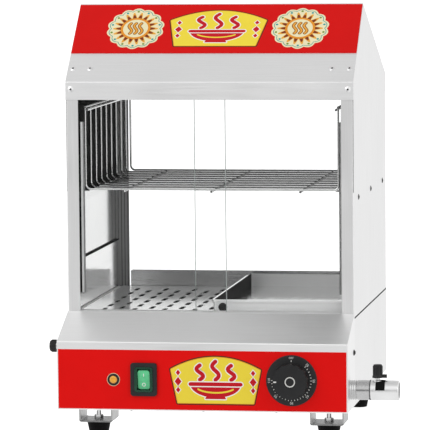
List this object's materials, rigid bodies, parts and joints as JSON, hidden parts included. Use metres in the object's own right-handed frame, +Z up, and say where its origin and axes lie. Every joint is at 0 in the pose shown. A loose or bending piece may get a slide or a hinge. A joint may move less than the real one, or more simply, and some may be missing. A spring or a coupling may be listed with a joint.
{
  "type": "steam food cabinet",
  "caption": "Hut-shaped counter-top steam cabinet with sliding glass doors, wire rack, slotted sheet, pan, water tank, control panel and drain tap",
  "frame": {"origin": "middle of the whole outline, on the table under the feet", "axes": "+Z up, -Y to the control panel and doors, +X to the drain tap"},
  "size_m": [0.429, 0.4396, 0.5335],
  "materials": {
    "brushed_steel": "brushed stainless sheet",
    "bright_steel": "bright stainless sheet",
    "heater_steel": "heat-darkened stainless tube",
    "plated_metal": "nickel-plated",
    "chrome_wire": "polished stainless wire",
    "rivet_steel": "bright",
    "red_print": "gloss print on sheet",
    "clear_glass": "clear, polished edges",
    "black_plastic": "fine satin",
    "grey_plastic": "satin",
    "cream_plastic": "satin",
    "float_plastic": "satin",
    "green_seal": "translucent soft boot",
    "green_rocker": "translucent gloss",
    "amber_lens": "translucent gloss",
    "red_button": "gloss",
    "black_rubber": "moulded"
  },
  "bodies": {
    "cabinet": {"base_shell": "brushed_steel", "blind_rivets": "rivet_steel", "bottom_plate": "brushed_steel", "cabinet_side_left": "brushed_steel", "cabinet_side_right": "brushed_steel", "cable_gland": "black_plastic", "control_fascia": "red_print", "control_housing": "brushed_steel", "cover_screws": "rivet_steel", "dial_plate": "black_plastic", "drain_nut": "plated_metal", "drain_pipe": "bright_steel", "drain_valve": "plated_metal", "foot_bolts": "rivet_steel", "foot_bracket_front_left": "bright_steel", "foot_bracket_front_right": "bright_steel", "foot_bracket_rear_left": "bright_steel", "foot_bracket_rear_right": "bright_steel", "foot_nuts": "rivet_steel", "front_header": "brushed_steel", "heating_element": "heater_steel", "jamb_left": "bright_steel", "jamb_right": "bright_steel", "lamp_lens": "amber_lens", "lamp_ring": "plated_metal", "level_stem": "bright_steel", "liner_left": "bright_steel", "liner_right": "bright_steel", "lower_track": "bright_steel", "overheat_cutout": "plated_metal", "rack_rail_left": "bright_steel", "rack_rail_right": "bright_steel", "rear_head": "bright_steel", "rear_sill": "bright_steel", "rear_window": "clear_glass", "roof_rear": "brushed_steel", "rubber_foot_front_left": "black_rubber", "rubber_foot_front_right": "black_rubber", "rubber_foot_rear_left": "black_rubber", "rubber_foot_rear_right": "black_rubber", "sign_panel": "red_print", "switch_housing": "black_plastic", "switch_seal": "green_seal", "terminal_block": "cream_plastic", "thermostat": "black_plastic", "upper_track": "bright_steel", "water_tank": "bright_steel"},
    "front_door_left": {"front_door_left": "clear_glass"},
    "front_door_right": {"front_door_right": "clear_glass"},
    "wire_rack": {"wire_rack": "chrome_wire"},
    "slotted_sheet": {"perforated_tray": "bright_steel"},
    "holding_pan": {"holding_tray": "bright_steel"},
    "float": {"level_float": "float_plastic"},
    "knob": {"temperature_knob": "black_plastic", "thermostat_spindle": "plated_metal"},
    "rocker": {"switch_rocker": "green_rocker"},
    "tap": {"drain_plug": "plated_metal", "drain_tap": "black_plastic"},
    "cap": {"reset_cap": "grey_plastic"},
    "button": {"reset_button": "red_button"}
  },
  "joints": [
    {"name": "front_door_left_slide", "type": "slide", "parent": "cabinet", "child": "front_door_left", "axis": [1, 0, 0], "range_m": [0, 0.15]},
    {"name": "front_door_right_slide", "type": "slide", "parent": "cabinet", "child": "front_door_right", "axis": [1, 0, 0], "range_m": [-0.15, 0]},
    {"name": "wire_rack_lift", "type": "slide", "parent": "cabinet", "child": "wire_rack", "axis": [0, 0, 1], "range_m": [0, 0.02]},
    {"name": "slotted_sheet_lift", "type": "slide", "parent": "cabinet", "child": "slotted_sheet", "axis": [0, 0, 1], "range_m": [0, 0.05]},
    {"name": "holding_pan_lift", "type": "slide", "parent": "slotted_sheet", "child": "holding_pan", "axis": [0, 0, 1], "range_m": [0, 0.05]},
    {"name": "float_rise", "type": "slide", "parent": "cabinet", "child": "float", "axis": [0, 0, 1], "range_m": [0, 0.03]},
    {"name": "temperature_knob_turn", "type": "hinge", "parent": "cabinet", "child": "knob", "pos_m": [0.0865, -0.20325, 0.0855], "axis": [0, -1, 0], "range_deg": [0, 270]},
    {"name": "power_rocker_tip", "type": "hinge", "parent": "cabinet", "child": "rocker", "pos_m": [-0.0941, -0.20125, 0.0847], "axis": [1, 0, 0], "range_deg": [-16, 0]},
    {"name": "drain_tap_turn", "type": "hinge", "parent": "cabinet", "child": "tap", "pos_m": [0.1885, -0.18225, 0.0725], "axis": [0, 0, 1], "range_deg": [0, 90]},
    {"name": "reset_cap_off", "type": "slide", "parent": "cabinet", "child": "cap", "axis": [-1, 0, 0], "range_m": [0, 0.012]},
    {"name": "reset_button_press", "type": "slide", "parent": "cabinet", "child": "button", "axis": [1, 0, 0], "range_m": [0, 0.0015], "stiffness_N_per_m": 300, "springref_m": -0.0002}
  ]
}
